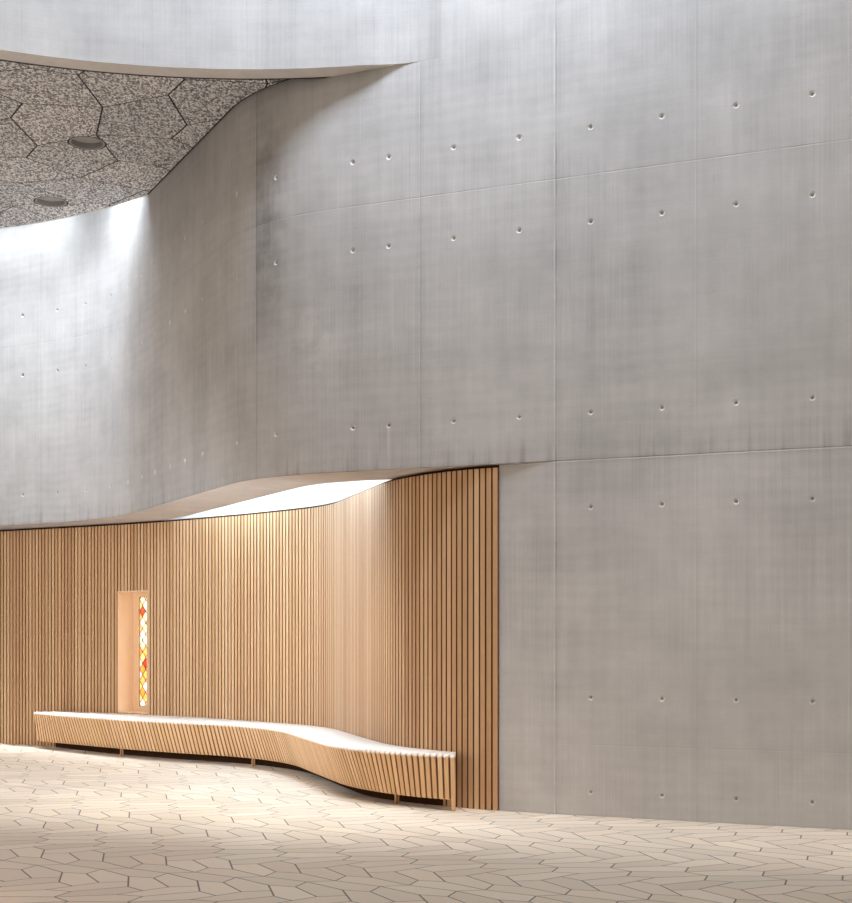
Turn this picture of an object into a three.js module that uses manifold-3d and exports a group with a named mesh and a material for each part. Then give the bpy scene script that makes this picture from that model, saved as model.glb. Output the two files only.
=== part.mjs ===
// One bay of a modern church nave: in-situ concrete walls, a timber-lined alcove with a long
// bench and a stained glass window, and the round ceiling of the chapel beside it.
// Millimetres, +X to the right along the nave, +Y towards the outside, +Z up.
// The origin lies on the underside of the floor slab, in the middle of the bay.
import * as THREE from 'three';
import { mergeVertices } from 'three/addons/utils/BufferGeometryUtils.js';
import Module from 'manifold-3d';

// Bay
const BAY_LENGTH = 11050;
const BAY_FRONT = -6250;
const FIT_GAP = 0.3;
const FACET_SAG = 0.3;

// Heights, from the underside of the slab
const SLAB_THICKNESS = 270;
const TILE_THICKNESS = 30;
const TILE_JOINT = 5;
const FLOOR = SLAB_THICKNESS + TILE_THICKNESS;
const FORMWORK_SHEET = 2500;
const FIRST_LIFT = FLOOR + 3125;
const SECOND_LIFT = FIRST_LIFT + FORMWORK_SHEET;
const THIRD_LIFT = SECOND_LIFT + FORMWORK_SHEET;

// Nave wall: straight, then two gentle bends above the alcove
const NAVE_START = [5525, -3633];
const NAVE_HEADING = 22.6;
const NAVE_RUN = [[5997, 0], [1464, 39.7], [3662, 0], [2151, -32.6], [3000, 0]];
const NAVE_WALL_THICKNESS = 740;
const NAVE_POUR_JOINTS = [-600, 3736, 6912, 11058, 15200];

// Alcove wall: it leaves the nave wall at the end of the first pour
const ALCOVE_RUN = [
  [510, 2], [635, 21.2], [1310, 27.4], [1765, 0], [1050, -25.7], [4470, -17.9], [2500, 0],
];
const ALCOVE_WALL_THICKNESS = 450;
const ALCOVE_BLEND = 2000;
const BARE_SETBACK = 32;
const ALCOVE_END = 12400;
const ALCOVE_POUR_JOINTS = [0, 2400, 5000];
const SHAFT_START = 1400;
const SHAFT_JOINT = 5000;
const SHAFT_TOP = FLOOR + 4300;

// Timber lining
const SLAT_PITCH = 63.4;
const SLAT_WIDTH = 49;
const SLAT_DEPTH = 40;
const LINING_DEPTH = 60;
const LINING_START = 552;
const LINING_HEIGHT = 3095;
const SLATS = 176;
const LINING_PANELS = { right: [0, 33], bend: [34, 70], middle: [71, 96], beside_window: [97, 121] };
const WINDOW_SLATS = [122, 130];

// Window
const WINDOW_START = LINING_START + (WINDOW_SLATS[0] - 1) * SLAT_PITCH + SLAT_WIDTH;
const WINDOW_END = LINING_START + (WINDOW_SLATS[1] + 1) * SLAT_PITCH;
const SILL = FLOOR + 522;
const HEAD = FLOOR + 2188;
const REVEAL_BOARD = 12;
const REVEAL_DEPTH = 360;
const FRAME_SIDE = 100;
const FRAME_RAIL = 65;
const FRAME_DEPTH = 60;
const FRAME_SETBACK = 280;
const GLASS_THICKNESS = 12;

// Bench
const SEAT = FLOOR + 510;
const BENCH_FOOT = FLOOR + 100;
const BENCH_LEAN = 140;
const RIB_PITCH = 65;
const RIB_WIDTH = 46;
const RIB_NOSE = 45;
const RIBS = 141;
const BENCH_START = [1187, -2057];
const BENCH_HEADING = 23.7;
const BENCH_RUN = [[1950, 47.6], [1615, 0.8], [1975, -40.7], [3640, 17.2]];
const BENCH_BACK = [1000, 10480];
const BENCH_SEGMENTS = ['right', 'bend', 'middle', 'left'];
const POST_RADIUS = 22;
const POST_INSET = 400;
const RIBS_PER_POST = 18;
const FIRST_POST = 11;

// Chapel: drum wall, ceiling, roof and its light slot
const DRUM_START = [1525, -1954];
const DRUM_HEADING = 22.1;
const DRUM_RUN = [[8600, -82.5]];
const DRUM_WALL_THICKNESS = 240;
const DRUM_SOFFIT = FLOOR + 6880;
const DRUM_POUR_JOINTS = [500, 1877, 5000, 8600];
const CEILING_EDGE_START = [-2075, 1894];
const CEILING_EDGE_HEADING = 47.5;
const CEILING_EDGE_RUN = [[4700, -40.9]];
const CEILING_EDGE_FROM = -400;
const CEILING_EDGE_TO = 4700;
const CHAPEL_SLOT_START = 9500;
const CEILING = FLOOR + 6940;
const CEILING_THICKNESS = 60;
const ROOF_THICKNESS = 250;
const CURB_START = 620;
const CURB_WIDTH = 150;
const CURB_HEIGHT = 450;
const RECESSES = { near: [-2765, 550], far: [-3715, 2550] };
const RECESS_RADIUS = 190;
const RING_WIDTH = 18;

// Rooflights
const ROOFLIGHT_FRAME = 80;
const ROOFLIGHT_BAR = 60;
const ROOFLIGHT_BEARING = 100;
const ROOFLIGHT_GLASS = 32;

const wasm = await Module();
wasm.setup();

const materials = {
  concrete: new THREE.MeshStandardMaterial({ color: 0xb5b2ac, roughness: 0.82, metalness: 0 }),
  plaster: new THREE.MeshStandardMaterial({ color: 0xe6e3dd, roughness: 0.85, metalness: 0 }),
  tile: new THREE.MeshStandardMaterial({ color: 0xe6d8c9, roughness: 0.6, metalness: 0 }),
  timber: new THREE.MeshStandardMaterial({ color: 0xc9a172, roughness: 0.6, metalness: 0 }),
  acoustic: new THREE.MeshStandardMaterial({ color: 0x9b9189, roughness: 0.95, metalness: 0 }),
  clearGlass: new THREE.MeshStandardMaterial({ color: 0xdfe8ea, roughness: 0.1, metalness: 0 }),
  stainedGlass: new THREE.MeshStandardMaterial({ color: 0xe8a83c, roughness: 0.2, metalness: 0 }),
  steel: new THREE.MeshStandardMaterial({ color: 0x8d8f90, roughness: 0.5, metalness: 0.8 }),
};

const bay = new THREE.Group();

function add(name, geometry, material) {
  const mesh = new THREE.Mesh(geometry, material);
  mesh.name = name;
  bay.add(mesh);
}

// A line in plan made of straights and tangent arcs, each [length, turn in degrees].
// A heading is measured from -X towards +Y, and the room lies on its left-hand side.
class PlanLine {
  constructor(start, heading, run, joints = []) {
    this.joints = joints;
    this.pieces = [];
    let [x, y] = start;
    let h = THREE.MathUtils.degToRad(heading);
    let from = 0;
    for (const [length, turn] of run) {
      const piece = { from, length, x, y, h, bend: THREE.MathUtils.degToRad(turn) / length };
      this.pieces.push(piece);
      [x, y] = this.pointOn(piece, length);
      h += piece.bend * length;
      from += length;
    }
  }

  pointOn({ x, y, h, bend }, t) {
    if (bend === 0) return [x - t * Math.cos(h), y + t * Math.sin(h)];
    const end = h + bend * t;
    return [x - (Math.sin(end) - Math.sin(h)) / bend, y - (Math.cos(end) - Math.cos(h)) / bend];
  }

  pieceAt(s) {
    const last = this.pieces[this.pieces.length - 1];
    return this.pieces.find((piece) => s <= piece.from + piece.length) ?? last;
  }

  headingAt(s) {
    const piece = this.pieceAt(s);
    return piece.h + piece.bend * (s - piece.from);
  }

  // The point at station s, moved sideways into the room by the offset
  at(s, offset = 0) {
    const piece = this.pieceAt(s);
    const [x, y] = this.pointOn(piece, s - piece.from);
    const h = this.headingAt(s);
    return [x - offset * Math.sin(h), y - offset * Math.cos(h)];
  }

  // Stations between two ends: the same ones whatever the ends are, so that neighbours fit
  stations(from, to) {
    const marks = [...this.joints];
    for (const piece of this.pieces) {
      const stepAngle = 2 * Math.acos(1 - FACET_SAG * Math.abs(piece.bend));
      const steps = piece.bend === 0 ? 1 : Math.ceil((piece.length * Math.abs(piece.bend)) / stepAngle);
      for (let i = 0; i <= steps; i += 1) marks.push(piece.from + (piece.length * i) / steps);
    }
    const inside = marks.filter((s) => s > from + 1 && s < to - 1).sort((p, q) => p - q);
    return [from, ...inside.filter((s, i) => i === 0 || s - inside[i - 1] > 1), to];
  }

  // Points of a face parallel to the line, whose offset may vary along it
  face(from, to, offset) {
    const depth = typeof offset === 'function' ? offset : () => offset;
    return this.stations(from, to).map((s) => this.at(s, depth(s)));
  }
}

const slatStart = (i) => LINING_START + i * SLAT_PITCH;
const slatEnd = (i) => slatStart(i) + SLAT_WIDTH;
const liningJoints = Object.values(LINING_PANELS).flatMap(([i, j]) => [slatStart(i), slatEnd(j)]);
const naveLine = new PlanLine(NAVE_START, NAVE_HEADING, NAVE_RUN, NAVE_POUR_JOINTS);
const alcoveStart = naveLine.at(NAVE_POUR_JOINTS[1]);
const alcoveJoints = [...ALCOVE_POUR_JOINTS, ...liningJoints, WINDOW_START, WINDOW_END];
const alcoveLine = new PlanLine(alcoveStart, NAVE_HEADING, ALCOVE_RUN, alcoveJoints);
const drumLine = new PlanLine(DRUM_START, DRUM_HEADING, DRUM_RUN, DRUM_POUR_JOINTS);
const ceilingEdge = new PlanLine(CEILING_EDGE_START, CEILING_EDGE_HEADING, CEILING_EDGE_RUN);
const benchLine = new PlanLine(BENCH_START, BENCH_HEADING, BENCH_RUN);

// The alcove wall is as thick as the nave wall where it leaves it
const blend = (s, length) => THREE.MathUtils.smoothstep(s, 0, length);
const alcoveOuter = (s) => -LINING_DEPTH * blend(s, ALCOVE_BLEND) - THREE.MathUtils.lerp(
  NAVE_WALL_THICKNESS, ALCOVE_WALL_THICKNESS, blend(s, ALCOVE_BLEND));

// Its inner face draws back a little on its bare stretch, then steps back behind the lining
function alcoveInnerFace(from, to, margin = 0) {
  const step = LINING_START - 1 + Math.max(margin, 0);
  const lined = alcoveLine.face(Math.max(from, step), to, margin - LINING_DEPTH);
  if (from >= step) return lined;
  const bare = alcoveLine.face(from, step, (s) => margin - BARE_SETBACK * blend(s, step));
  return [...bare, ...lined];
}

function prism(points, bottom, top) {
  const shape = new THREE.Shape(points.map(([x, y]) => new THREE.Vector2(x, y)));
  const geometry = new THREE.ExtrudeGeometry(shape, { depth: top - bottom, bevelEnabled: false });
  return geometry.translate(0, 0, bottom);
}

function wall(line, from, to, inner, outer, bottom, top) {
  const points = [...line.face(from, to, inner), ...line.face(from, to, outer).reverse()];
  return prism(points, bottom, top);
}

function alcoveWall(from, to, bottom, top) {
  const points = [...alcoveInnerFace(from, to), ...alcoveLine.face(from, to, alcoveOuter).reverse()];
  return prism(points, bottom, top);
}

function toSolid(geometry) {
  const bare = geometry.clone();
  bare.deleteAttribute('normal');
  bare.deleteAttribute('uv');
  const merged = mergeVertices(bare, 0.01);
  return new wasm.Manifold(new wasm.Mesh({
    numProp: 3,
    vertProperties: new Float32Array(merged.attributes.position.array),
    triVerts: new Uint32Array(merged.index.array),
  }));
}

function toGeometry(solid) {
  const mesh = solid.getMesh();
  const geometry = new THREE.BufferGeometry();
  geometry.setAttribute('position', new THREE.BufferAttribute(mesh.vertProperties, 3));
  geometry.setIndex(new THREE.BufferAttribute(mesh.triVerts, 1));
  return geometry;
}

// The bay ends at two straight section planes
const BAY_BOX_REACH = 40000;
const bayBox = toSolid(new THREE.BoxGeometry(BAY_LENGTH, BAY_BOX_REACH, BAY_BOX_REACH));
const inBay = (geometry) => toGeometry(toSolid(geometry).intersect(bayBox));

// Everything that the nave wall fills, grown by a margin on both faces
const naveMass = (margin) => toSolid(wall(
  naveLine, NAVE_POUR_JOINTS[0], NAVE_POUR_JOINTS[4],
  margin, -NAVE_WALL_THICKNESS - margin, 0, THIRD_LIFT + FORMWORK_SHEET));

function addFloor() {
  const corners = [[-BAY_LENGTH, BAY_FRONT], [BAY_LENGTH, BAY_FRONT]];
  const naveBack = naveLine.face(NAVE_POUR_JOINTS[0] - BAY_LENGTH, NAVE_POUR_JOINTS[1], -NAVE_WALL_THICKNESS);
  const alcoveBack = alcoveLine.face(1, ALCOVE_END + BAY_LENGTH, alcoveOuter);
  add('floor_slab', inBay(prism([...corners, ...naveBack, ...alcoveBack], 0, SLAB_THICKNESS)), materials.concrete);
  const naveFront = naveLine.face(NAVE_POUR_JOINTS[0] - BAY_LENGTH, NAVE_POUR_JOINTS[1], TILE_JOINT);
  const alcoveFront = alcoveInnerFace(1, ALCOVE_END + BAY_LENGTH, TILE_JOINT);
  const tiles = prism([...corners, ...naveFront, ...alcoveFront], SLAB_THICKNESS + FIT_GAP, FLOOR);
  add('floor_tiles', inBay(tiles), materials.tile);
}

function addNaveWalls() {
  const names = ['right', 'over_bend', 'over_alcove', 'left'];
  const foot = SLAB_THICKNESS + FIT_GAP;
  const [start, first] = NAVE_POUR_JOINTS;
  const lower = wall(naveLine, start, first - FIT_GAP, 0, -NAVE_WALL_THICKNESS, foot, FIRST_LIFT);
  add('nave_wall_foot', inBay(lower), materials.concrete);
  names.forEach((name, i) => {
    const from = NAVE_POUR_JOINTS[i] + (i > 0 ? FIT_GAP : 0);
    const to = NAVE_POUR_JOINTS[i + 1];
    const middle = wall(naveLine, from, to, 0, -NAVE_WALL_THICKNESS, FIRST_LIFT + FIT_GAP, SECOND_LIFT);
    const upper = wall(naveLine, from, to, 0, -NAVE_WALL_THICKNESS, SECOND_LIFT + FIT_GAP, THIRD_LIFT);
    add(`nave_wall_middle_${name}`, inBay(middle), materials.concrete);
    add(`nave_wall_top_${name}`, inBay(upper), materials.concrete);
  });
}

function addAlcoveWalls() {
  const foot = SLAB_THICKNESS + FIT_GAP;
  const pour = (from, to, bottom, top) => inBay(alcoveWall(from + FIT_GAP, to, bottom, top));
  const [start, first, second] = ALCOVE_POUR_JOINTS;
  add('alcove_wall_right', pour(start, first, foot, FIRST_LIFT), materials.concrete);
  add('alcove_wall_bend', pour(first, second, foot, FIRST_LIFT), materials.concrete);
  add('alcove_wall_middle', pour(second, WINDOW_START, foot, FIRST_LIFT), materials.concrete);
  add('alcove_wall_under_window', pour(WINDOW_START, WINDOW_END, foot, SILL - FIT_GAP), materials.concrete);
  add('alcove_wall_over_window', pour(WINDOW_START, WINDOW_END, HEAD + FIT_GAP, FIRST_LIFT), materials.concrete);
  add('alcove_wall_left', pour(WINDOW_END, ALCOVE_END, foot, FIRST_LIFT), materials.concrete);
}

// The alcove wall rises past the soffit behind the nave wall and lets daylight down
function addLightShaft() {
  const nave = naveMass(FIT_GAP);
  const rise = (from, to) => {
    const solid = toSolid(alcoveWall(from, to, FIRST_LIFT + FIT_GAP, SHAFT_TOP));
    return inBay(toGeometry(solid.subtract(nave)));
  };
  add('light_shaft_wall_right', rise(SHAFT_START, SHAFT_JOINT), materials.plaster);
  add('light_shaft_wall_left', rise(SHAFT_JOINT + FIT_GAP, ALCOVE_END), materials.plaster);
}

// The crescent between the back of the nave wall and the alcove wall
function alcoveCrescent(wallMargin, naveMargin, bottom, top) {
  const outer = alcoveInnerFace(SHAFT_START, ALCOVE_END, -wallMargin);
  const front = naveLine.face(NAVE_POUR_JOINTS[1] + SHAFT_START, NAVE_POUR_JOINTS[4], 0);
  const between = toSolid(prism([...outer, ...front.reverse()], bottom, top));
  return largest(between.subtract(naveMass(naveMargin)).intersect(bayBox));
}

function largest(solid) {
  return solid.decompose().sort((a, b) => b.volume() - a.volume())[0];
}

function addAlcoveRooflight() {
  const bottom = SHAFT_TOP + FIT_GAP;
  const top = bottom + ROOFLIGHT_FRAME;
  const whole = alcoveCrescent(ROOFLIGHT_BEARING, FIT_GAP, bottom, top);
  const light = alcoveCrescent(-ROOFLIGHT_BAR, ROOFLIGHT_BAR, bottom - 1, top + 1);
  const pane = alcoveCrescent(ROOFLIGHT_BEARING, FIT_GAP, top + FIT_GAP, top + ROOFLIGHT_GLASS);
  add('alcove_rooflight_frame', toGeometry(largest(whole.subtract(light))), materials.steel);
  add('alcove_rooflight_glass', toGeometry(pane), materials.clearGlass);
}

// Slats on a continuous backing, cut as one comb-shaped outline and bent to the wall
function liningPanel(firstSlat, lastSlat, bottom, top) {
  const groove = -SLAT_DEPTH;
  const teeth = [];
  for (let i = firstSlat; i <= lastSlat; i += 1) {
    teeth.push(alcoveLine.at(slatStart(i), groove), alcoveLine.at(slatStart(i)));
    teeth.push(alcoveLine.at(slatEnd(i)), alcoveLine.at(slatEnd(i), groove));
  }
  const backing = alcoveLine.face(slatStart(firstSlat), slatEnd(lastSlat), FIT_GAP - LINING_DEPTH);
  return prism([...teeth, ...backing.reverse()], bottom, top);
}

function addLining() {
  const bottom = FLOOR + FIT_GAP;
  const top = FLOOR + LINING_HEIGHT;
  for (const [name, [first, last]] of Object.entries(LINING_PANELS)) {
    add(`timber_lining_${name}`, liningPanel(first, last, bottom, top), materials.timber);
  }
  const [first, last] = WINDOW_SLATS;
  add('timber_lining_under_window', liningPanel(first, last, bottom, SILL - FIT_GAP), materials.timber);
  add('timber_lining_over_window', liningPanel(first, last, HEAD + FIT_GAP, top), materials.timber);
  add('timber_lining_left', inBay(liningPanel(last + 1, SLATS, bottom, top)), materials.timber);
}

// A box in the window's own axes: along the wall, into the wall and up
function windowBox(width, frontDepth, backDepth, bottom, top) {
  const centre = (WINDOW_START + WINDOW_END) / 2;
  const [x, y] = alcoveLine.at(centre);
  const geometry = new THREE.BoxGeometry(width, backDepth - frontDepth, top - bottom);
  geometry.translate(0, (frontDepth + backDepth) / 2, (bottom + top) / 2);
  geometry.rotateZ(-alcoveLine.headingAt(centre));
  return geometry.translate(x, y, 0);
}

function addWindow() {
  const width = WINDOW_END - WINDOW_START - 8;
  const clear = width - 2 * REVEAL_BOARD;
  const sill = SILL + REVEAL_BOARD;
  const head = HEAD - REVEAL_BOARD;
  const box = toSolid(windowBox(width, 2, REVEAL_DEPTH, SILL, HEAD));
  const niche = toSolid(windowBox(clear, -100, REVEAL_DEPTH + 100, sill, head));
  add('window_reveal', toGeometry(box.subtract(niche)), materials.timber);
  const back = FRAME_SETBACK + FRAME_DEPTH;
  const frame = toSolid(windowBox(clear - 2 * FIT_GAP, FRAME_SETBACK, back, sill + FIT_GAP, head - FIT_GAP));
  const paneWidth = clear - 2 * FRAME_SIDE;
  const opening = windowBox(paneWidth, 0, REVEAL_DEPTH, sill + FRAME_RAIL, head - FRAME_RAIL);
  add('window_frame', toGeometry(frame.subtract(toSolid(opening))), materials.timber);
  const paneFront = FRAME_SETBACK + (FRAME_DEPTH - GLASS_THICKNESS) / 2;
  const pane = windowBox(
    paneWidth - 2 * FIT_GAP, paneFront, paneFront + GLASS_THICKNESS,
    sill + FRAME_RAIL + FIT_GAP, head - FRAME_RAIL - FIT_GAP);
  add('stained_glass_window', pane, materials.stainedGlass);
}

// The ribs are evenly spaced along the bench's front edge and square to it
function fromRib(i, along, inward) {
  const s = (i + 0.5) * RIB_PITCH;
  const [x, y] = benchLine.at(s, -inward);
  const h = benchLine.headingAt(s);
  return [x - along * Math.cos(h), y + along * Math.sin(h)];
}

// A comb outline whose foot leans back towards the wall
function benchSegment(firstRib, lastRib) {
  const outline = [];
  const foot = [];
  const place = (i, along, inward) => {
    outline.push(fromRib(i, along, inward));
    foot.push(fromRib(i, along, inward + BENCH_LEAN));
  };
  for (let i = firstRib; i <= lastRib; i += 1) {
    if (i > firstRib) place(i, -RIB_WIDTH / 2, RIB_NOSE);
    place(i, -RIB_WIDTH / 2, 0);
    place(i, RIB_WIDTH / 2, 0);
    if (i < lastRib) place(i, RIB_WIDTH / 2, RIB_NOSE);
  }
  const [start, end] = [firstRib, lastRib + 1].map((i) => THREE.MathUtils.lerp(...BENCH_BACK, i / RIBS));
  const back = alcoveLine.face(start + FIT_GAP, end, FIT_GAP + FACET_SAG).reverse();
  outline.push(...back);
  foot.push(...back);
  const geometry = prism(outline, BENCH_FOOT, SEAT);
  const position = geometry.attributes.position;
  for (let i = 0; i < position.count; i += 1) {
    if (position.getZ(i) > BENCH_FOOT + 1) continue;
    const gaps = outline.map(([x, y]) => Math.hypot(x - position.getX(i), y - position.getY(i)));
    position.setXY(i, ...foot[gaps.indexOf(Math.min(...gaps))]);
  }
  return geometry;
}

function benchPost(rib) {
  const [x, y] = fromRib(rib, 0, POST_INSET);
  const height = BENCH_FOOT - FLOOR + 20;
  const post = new THREE.CylinderGeometry(POST_RADIUS, POST_RADIUS, height, 12);
  post.rotateX(Math.PI / 2);
  return post.translate(x, y, FLOOR + FIT_GAP + height / 2);
}

function addBench() {
  const share = Math.ceil(RIBS / BENCH_SEGMENTS.length);
  BENCH_SEGMENTS.forEach((name, segment) => {
    const first = segment * share;
    const last = Math.min(first + share, RIBS) - 1;
    let solid = toSolid(benchSegment(first, last));
    for (let i = first; i <= last; i += 1) {
      if (i % RIBS_PER_POST === FIRST_POST) solid = solid.add(toSolid(benchPost(i)));
    }
    add(`bench_${name}`, toGeometry(solid), materials.timber);
  });
}

function addDrumWall() {
  const nave = naveMass(FIT_GAP);
  const names = ['right', 'middle', 'left'];
  names.forEach((name, i) => {
    const from = DRUM_POUR_JOINTS[i] + FIT_GAP;
    const pour = wall(drumLine, from, DRUM_POUR_JOINTS[i + 1], 0, -DRUM_WALL_THICKNESS, DRUM_SOFFIT, THIRD_LIFT);
    const solid = toSolid(pour).subtract(nave).intersect(bayBox);
    add(`drum_wall_${name}`, toGeometry(largest(solid)), materials.concrete);
  });
}

// Everything under the chapel roof, from the drum wall to the free edge
function chapelPlan(edgeInset, bottom, top) {
  const [from, to] = [DRUM_POUR_JOINTS[0], DRUM_POUR_JOINTS[3]];
  const front = drumLine.face(from, to, -DRUM_WALL_THICKNESS - FIT_GAP);
  const edge = ceilingEdge.face(CEILING_EDGE_FROM, CEILING_EDGE_TO, edgeInset);
  const whole = toSolid(prism([...front, ...edge.reverse()], bottom, top));
  return largest(whole.subtract(naveMass(FIT_GAP)).intersect(bayBox));
}

function recess(radius, [x, y], bottom, top) {
  const cylinder = new THREE.CylinderGeometry(radius, radius, top - bottom, 32);
  return toSolid(cylinder.rotateX(Math.PI / 2).translate(x, y, (bottom + top) / 2));
}

function addChapelCeiling() {
  const top = CEILING + CEILING_THICKNESS;
  let ceiling = chapelPlan(0, CEILING, top);
  for (const [name, centre] of Object.entries(RECESSES)) {
    ceiling = ceiling.subtract(recess(RECESS_RADIUS, centre, CEILING - 1, top + 1));
    const outer = recess(RECESS_RADIUS - FIT_GAP, centre, CEILING, top);
    const ring = outer.subtract(recess(RECESS_RADIUS - RING_WIDTH, centre, CEILING - 1, top + 1));
    add(`ceiling_recess_ring_${name}`, toGeometry(ring), materials.steel);
  }
  add('acoustic_ceiling', toGeometry(ceiling), materials.acoustic);
}

function addChapelRoof() {
  const bottom = CEILING + CEILING_THICKNESS + FIT_GAP;
  const top = bottom + ROOF_THICKNESS;
  const curbTop = top + CURB_HEIGHT;
  add('chapel_roof_slab', toGeometry(chapelPlan(0, bottom, top)), materials.concrete);
  const curb = wall(ceilingEdge, CURB_START, CEILING_EDGE_TO, 0, CURB_WIDTH, top + FIT_GAP, curbTop);
  add('chapel_roof_curb', inBay(curb), materials.concrete);
  addChapelRooflight(curbTop + FIT_GAP);
}

function chapelSlot(edgeMargin, naveMargin, bottom, top) {
  const edge = ceilingEdge.face(CEILING_EDGE_FROM, CEILING_EDGE_TO, edgeMargin);
  const behind = naveLine.face(CHAPEL_SLOT_START, NAVE_POUR_JOINTS[4], -NAVE_WALL_THICKNESS + 100);
  const between = toSolid(prism([...edge, ...behind.reverse()], bottom, top));
  return largest(between.subtract(naveMass(naveMargin)).intersect(bayBox));
}

function addChapelRooflight(bottom) {
  const top = bottom + ROOFLIGHT_FRAME;
  const whole = chapelSlot(ROOFLIGHT_BEARING, FIT_GAP, bottom, top);
  const light = chapelSlot(-ROOFLIGHT_BAR, ROOFLIGHT_BAR, bottom - 1, top + 1);
  const pane = chapelSlot(ROOFLIGHT_BEARING, FIT_GAP, top + FIT_GAP, top + ROOFLIGHT_GLASS);
  add('chapel_rooflight_frame', toGeometry(largest(whole.subtract(light))), materials.steel);
  add('chapel_rooflight_glass', toGeometry(pane), materials.clearGlass);
}

addFloor();
addNaveWalls();
addAlcoveWalls();
addLightShaft();
addAlcoveRooflight();
addLining();
addWindow();
addBench();
addDrumWall();
addChapelCeiling();
addChapelRoof();

export default bay;
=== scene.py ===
# One bay of a modern church nave: smooth cast concrete walls, an alcove lined with timber slats,
# a long ribbed bench, a stained glass window, a floor of five-sided tiles and the chapel's ceiling.
import math
import random

import bmesh
import bpy
from mathutils import Matrix, Vector


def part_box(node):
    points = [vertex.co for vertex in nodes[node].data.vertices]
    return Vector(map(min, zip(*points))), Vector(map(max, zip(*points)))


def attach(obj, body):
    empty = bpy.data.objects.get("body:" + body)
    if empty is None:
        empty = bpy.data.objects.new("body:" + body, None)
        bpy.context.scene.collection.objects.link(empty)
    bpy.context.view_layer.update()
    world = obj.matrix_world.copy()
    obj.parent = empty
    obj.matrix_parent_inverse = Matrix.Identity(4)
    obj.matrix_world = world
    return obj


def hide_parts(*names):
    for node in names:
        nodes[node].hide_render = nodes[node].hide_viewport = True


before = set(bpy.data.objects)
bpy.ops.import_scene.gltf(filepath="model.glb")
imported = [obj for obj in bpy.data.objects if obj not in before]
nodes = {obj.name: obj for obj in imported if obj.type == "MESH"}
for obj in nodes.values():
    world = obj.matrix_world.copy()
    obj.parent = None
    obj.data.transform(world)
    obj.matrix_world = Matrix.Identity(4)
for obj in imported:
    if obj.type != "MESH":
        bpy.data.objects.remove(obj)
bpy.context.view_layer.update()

# The view: a camera at eye height in the nave, level, looking straight across at the bay. The
# focal length and the horizon are in pixels of the photograph and set the lens and its shift.
FLOOR = 0.3
EYE_HEIGHT = 1.585
PHOTO_HEIGHT = 903
FOCAL_LENGTH = 1350
HORIZON = 635
lens = bpy.data.cameras.new("nave_camera")
lens.sensor_fit = "VERTICAL"
lens.lens = lens.sensor_height * FOCAL_LENGTH / PHOTO_HEIGHT
lens.shift_y = (HORIZON - PHOTO_HEIGHT / 2) / PHOTO_HEIGHT
lens.clip_end = 300
camera = bpy.data.objects.new("nave_camera", lens)
camera.location = (0.925, -14.15, FLOOR + EYE_HEIGHT)
camera.rotation_euler = (math.radians(90), 0, 0)
bpy.context.scene.collection.objects.link(camera)
bpy.context.scene.camera = camera
bpy.context.scene.view_settings.view_transform = "Standard"


# Daylight: soft lamps stand for the sky over the nave, for what falls through the two roof slots
# and for the glow of the room. One without a target hangs level, turned along the wall below it.
NAVE_HEADING = 22.6
CHAPEL_HEADING = 29.7
SLOT_SKY = (0.79, 0.88, 1)


def soft_light(name, place, size, power, colour, spread=180, target=None, heading=NAVE_HEADING, lean=0):
    lamp = bpy.data.lights.new(name, "AREA")
    lamp.shape = "RECTANGLE"
    lamp.size, lamp.size_y = size
    lamp.energy = power
    lamp.spread = math.radians(spread)
    lamp.color = colour
    light = bpy.data.objects.new(name, lamp)
    light.location = place
    if target:
        aim = (Vector(target) - Vector(place)).to_track_quat("-Z", "Y")
    else:
        level = Matrix.Rotation(math.radians(-heading), 3, "Z")
        aim = level @ Matrix.Rotation(math.radians(lean), 3, "X")
    light.rotation_euler = aim.to_euler()
    light.visible_camera = False
    bpy.context.scene.collection.objects.link(light)


soft_light("drum_daylight", (1, -4, 11), (5, 1.5), 600, (0.74, 0.84, 1), target=(1, -1.5, 7))
soft_light("nave_daylight_right", (3.2, -3.9, 10.6), (5.5, 0.8), 17, (0.92, 0.93, 1), 22, lean=2)
soft_light("nave_daylight_left", (-2.3, -3.0, 10.6), (6, 0.8), 38, (0.92, 0.97, 1), 22, lean=8)
soft_light("alcove_daylight_left", (-1.6, 2.4, 4.55), (0.5, 1.6), 270, (0.62, 0.82, 1))
soft_light("alcove_daylight_right", (0.1, 0.0, 4.55), (0.5, 0.8), 125, (0.6, 0.78, 1))
soft_light("chapel_slot_near", (-5.54, 4.81, 7.9), (3.6, 0.3), 80, SLOT_SKY, 100, heading=CHAPEL_HEADING)
soft_light(
    "chapel_slot_beam", (-5.6, 4.65, 7.9), (3.2, 0.3), 34, SLOT_SKY, 26, heading=CHAPEL_HEADING, lean=8)
soft_light("chapel_slot_far", (-2.94, 2.88, 7.9), (0.8, 0.15), 48, SLOT_SKY, 100, heading=61, lean=5)
soft_light("floor_glow", (-4, -7, 0.6), (5, 0.6), 20, (1, 0.4, 0.12), 100, target=(-3, 2, 1.5))
soft_light("back_daylight", (-1, 15, 6), (12, 4.5), 420, (0.92, 0.97, 1.05), target=(-1, 3, 3.5))
soft_light("room_fill", (-2.4, -2.0, 1.9), (5, 1.2), 100, (0.78, 0.87, 1), 125, target=(-2.9, 2.5, 1.7))


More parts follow.
